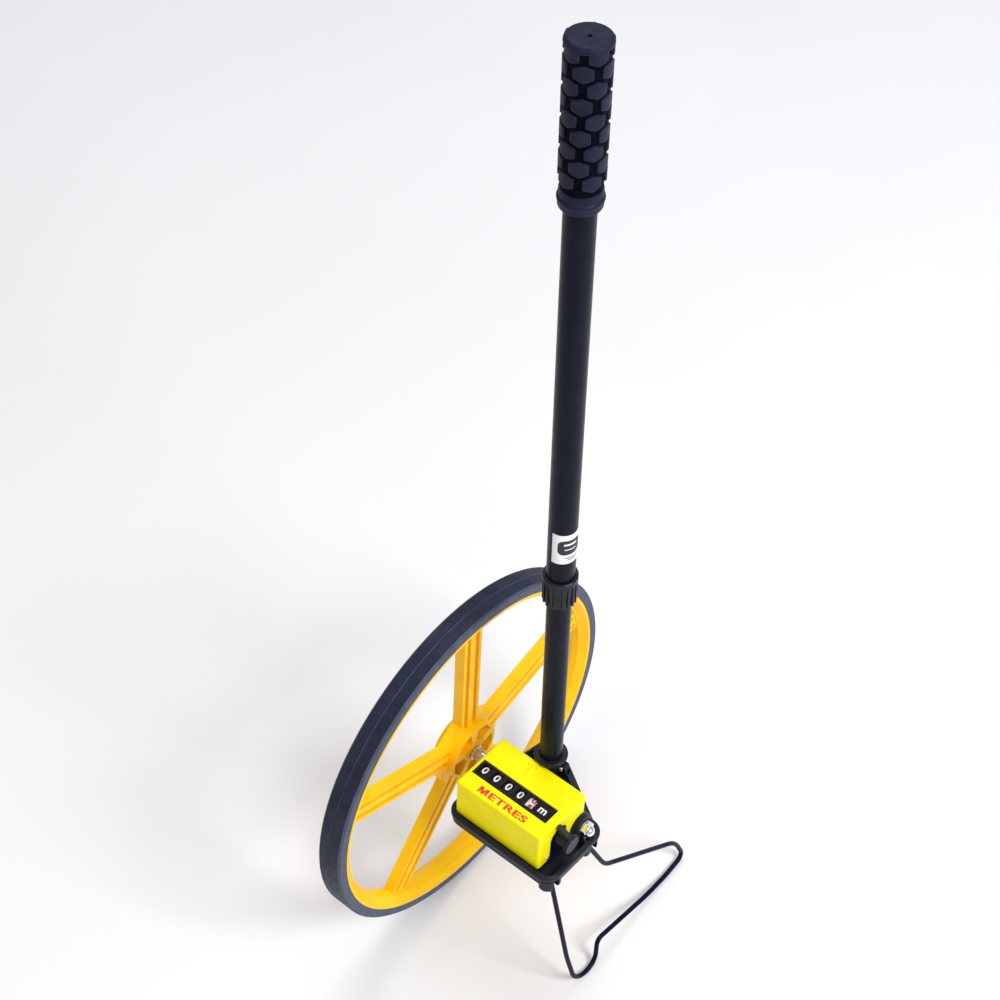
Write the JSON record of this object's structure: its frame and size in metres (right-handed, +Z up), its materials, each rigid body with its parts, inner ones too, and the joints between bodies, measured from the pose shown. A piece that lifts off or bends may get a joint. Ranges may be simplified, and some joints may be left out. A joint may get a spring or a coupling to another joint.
{
  "type": "measuring wheel",
  "caption": "Distance measuring wheel with a geared drum counter on a tray, a telescopic handle with a rubber grip and a swinging wire stand.",
  "frame": {"origin": "on the floor, under the middle of the object's bounding box, as it stands on its wheel and its wire stand", "axes": "+X forward, in the direction of rolling; +Y to the left along the axle, from the counter towards the wheel; +Z up"},
  "size_m": [0.3182, 0.1736, 0.8494],
  "materials": {
    "black_plastic": "fine moulded texture",
    "black_tube": "black coated, satin gloss",
    "black_wire": "black dipped steel wire",
    "bronze": "sintered bronze",
    "chrome": "polished",
    "cover_yellow": "moulded, satin gloss",
    "drum_black": "moulded, white figures",
    "drum_white": "moulded, red figures",
    "grip_rubber": "soft matt rubber with hexagon pads",
    "label_paper": "printed paper",
    "lens": "clear",
    "steel_axle": "ground steel",
    "tyre": "satin moulded rubber",
    "wheel_yellow": "moulded, slightly glossy",
    "white_plastic": "moulded",
    "zinc_steel": "bright zinc"
  },
  "bodies": {
    "frame": {"base_tray": "black_plastic", "rear_bracket": "black_plastic", "socket_collar": "black_plastic", "socket_bolt": "chrome", "socket_nut": "zinc_steel", "bracket_screws": "zinc_steel", "block_screws": "zinc_steel", "chassis_screws": "zinc_steel", "bearing_block_left": "black_plastic", "bearing_block_right": "black_plastic", "axle_bush_left": "bronze", "axle_bush_right": "bronze", "lower_tube": "black_tube", "tube_end_guide": "white_plastic", "counter_cover": "cover_yellow", "cover_screws": "chrome", "window_lens": "lens", "window_mask": "black_plastic", "counter_chassis": "zinc_steel", "pinion_shaft": "steel_axle", "idler_pin": "steel_axle"},
    "wheel": {"tyre": "tyre", "spoked_wheel": "wheel_yellow", "hub_bush": "bronze", "axle": "steel_axle", "hub_washer_outer": "zinc_steel", "hub_nut_outer": "zinc_steel", "hub_washer_inner": "zinc_steel", "hub_nut_inner": "zinc_steel", "spacer_sleeve": "steel_axle", "axle_pinion": "white_plastic", "axle_end_washer": "zinc_steel", "axle_end_nut": "chrome"},
    "upper_handle": {"upper_tube": "black_tube", "clamp_collet": "white_plastic", "handle_plug": "white_plastic", "grip": "grip_rubber", "label_band": "label_paper"},
    "lock_collar": {"lock_collar": "black_plastic"},
    "stand": {"stand_wire": "black_wire"},
    "reset": {"reset_knob": "black_plastic", "reset_shaft": "steel_axle"},
    "idler": {"idler_gear": "white_plastic"},
    "drum_thousands": {"drum_thousands": "drum_black"},
    "drum_hundreds": {"drum_hundreds": "drum_black"},
    "drum_tens": {"drum_tens": "drum_black"},
    "drum_units": {"drum_units": "drum_black"},
    "drum_tenths": {"drum_tenths": "drum_white", "tenths_gear": "white_plastic"},
    "carry_thousands": {"pinion_thousands": "white_plastic"},
    "carry_hundreds": {"pinion_hundreds": "white_plastic"},
    "carry_tens": {"pinion_tens": "white_plastic"},
    "carry_units": {"pinion_units": "white_plastic"}
  },
  "joints": [
    {"name": "wheel_spin", "type": "hinge", "parent": "frame", "child": "wheel", "pos_m": [0, 0.06711, 0.15915], "axis": [0, 1, 0], "continuous": true},
    {"name": "handle_slide", "type": "slide", "parent": "frame", "child": "upper_handle", "axis": [0.0912, 0, 0.9958], "range_m": [-0.182, 0.15]},
    {"name": "collar_turn", "type": "hinge", "parent": "upper_handle", "child": "lock_collar", "pos_m": [0.03953, -0.00689, 0.38273], "axis": [0.0912, 0, 0.9958], "range_deg": [0, 90]},
    {"name": "stand_swing", "type": "hinge", "parent": "frame", "child": "stand", "pos_m": [-0.02218, -0.06229, 0.14392], "axis": [-0.9914, 0, 0.1305], "range_deg": [0, 95]},
    {"name": "reset_turn", "type": "hinge", "parent": "frame", "child": "reset", "pos_m": [-0.02441, -0.05989, 0.17447], "axis": [0, 1, 0], "range_deg": [0, 360]},
    {"name": "idler_spin", "type": "hinge", "parent": "frame", "child": "idler", "pos_m": [-0.01221, -0.03209, 0.16681], "axis": [0, 1, 0], "continuous": true},
    {"name": "tenths_spin", "type": "hinge", "parent": "frame", "child": "drum_tenths", "pos_m": [-0.02441, 0.00411, 0.17447], "axis": [0, 1, 0], "continuous": true},
    {"name": "units_spin", "type": "hinge", "parent": "frame", "child": "drum_units", "pos_m": [-0.02441, 0.00411, 0.17447], "axis": [0, 1, 0], "continuous": true},
    {"name": "units_carry", "type": "hinge", "parent": "frame", "child": "carry_units", "pos_m": [-0.03464, 0.00411, 0.16114], "axis": [0, 1, 0], "continuous": true},
    {"name": "tens_spin", "type": "hinge", "parent": "frame", "child": "drum_tens", "pos_m": [-0.02441, 0.00411, 0.17447], "axis": [0, 1, 0], "continuous": true},
    {"name": "tens_carry", "type": "hinge", "parent": "frame", "child": "carry_tens", "pos_m": [-0.03464, 0.00411, 0.16114], "axis": [0, 1, 0], "continuous": true},
    {"name": "hundreds_spin", "type": "hinge", "parent": "frame", "child": "drum_hundreds", "pos_m": [-0.02441, 0.00411, 0.17447], "axis": [0, 1, 0], "continuous": true},
    {"name": "hundreds_carry", "type": "hinge", "parent": "frame", "child": "carry_hundreds", "pos_m": [-0.03464, 0.00411, 0.16114], "axis": [0, 1, 0], "continuous": true},
    {"name": "thousands_spin", "type": "hinge", "parent": "frame", "child": "drum_thousands", "pos_m": [-0.02441, 0.00411, 0.17447], "axis": [0, 1, 0], "continuous": true},
    {"name": "thousands_carry", "type": "hinge", "parent": "frame", "child": "carry_thousands", "pos_m": [-0.03464, 0.00411, 0.16114], "axis": [0, 1, 0], "continuous": true}
  ],
  "couplings": [
    {"joint": "idler_spin", "follows": "wheel_spin", "ratio": -0.38462},
    {"joint": "tenths_spin", "follows": "wheel_spin", "ratio": 1},
    {"joint": "units_spin", "follows": "wheel_spin", "ratio": 0.1},
    {"joint": "units_carry", "follows": "wheel_spin", "ratio": -0.25},
    {"joint": "tens_spin", "follows": "wheel_spin", "ratio": 0.01},
    {"joint": "tens_carry", "follows": "wheel_spin", "ratio": -0.025},
    {"joint": "hundreds_spin", "follows": "wheel_spin", "ratio": 0.001},
    {"joint": "hundreds_carry", "follows": "wheel_spin", "ratio": -0.0025},
    {"joint": "thousands_spin", "follows": "wheel_spin", "ratio": 0.0001},
    {"joint": "thousands_carry", "follows": "wheel_spin", "ratio": -0.00025}
  ]
}
